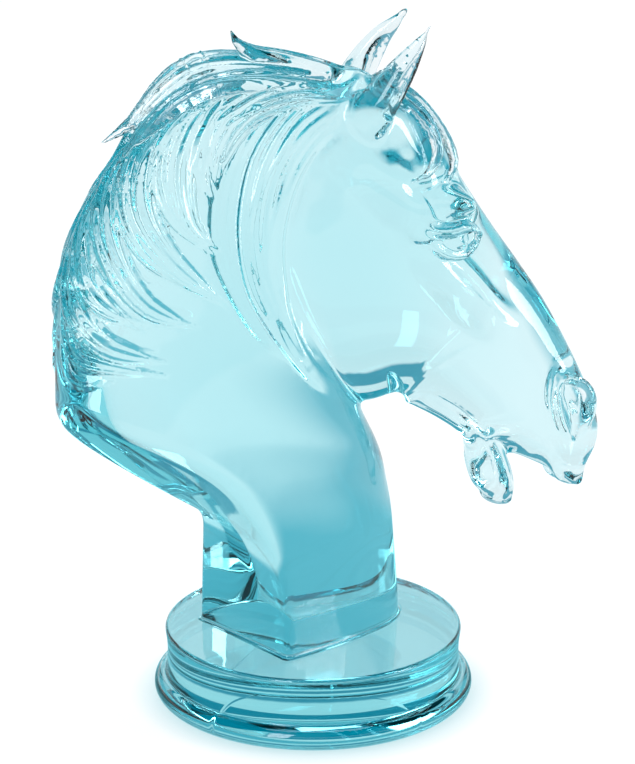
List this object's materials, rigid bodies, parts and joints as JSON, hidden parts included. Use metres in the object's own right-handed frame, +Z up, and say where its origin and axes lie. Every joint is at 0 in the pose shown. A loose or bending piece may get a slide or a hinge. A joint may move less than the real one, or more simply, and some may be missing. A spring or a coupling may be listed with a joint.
{
  "type": "horse head sculpture",
  "caption": "Clear aqua cast horse's head and neck turned to its right, with a flowing mane and pricked ears, on a round plinth with a bead foot.",
  "frame": {"origin": "centre of the plinth's underside", "axes": "+Z up; +X the way the post faces; the head is turned 28 degrees from +X towards -Y, the horse's right"},
  "size_m": [0.334, 0.2038, 0.4378],
  "materials": {
    "aqua_casting": "polished"
  },
  "bodies": {
    "root": {"horse_head_casting": "aqua_casting"}
  },
  "joints": []
}
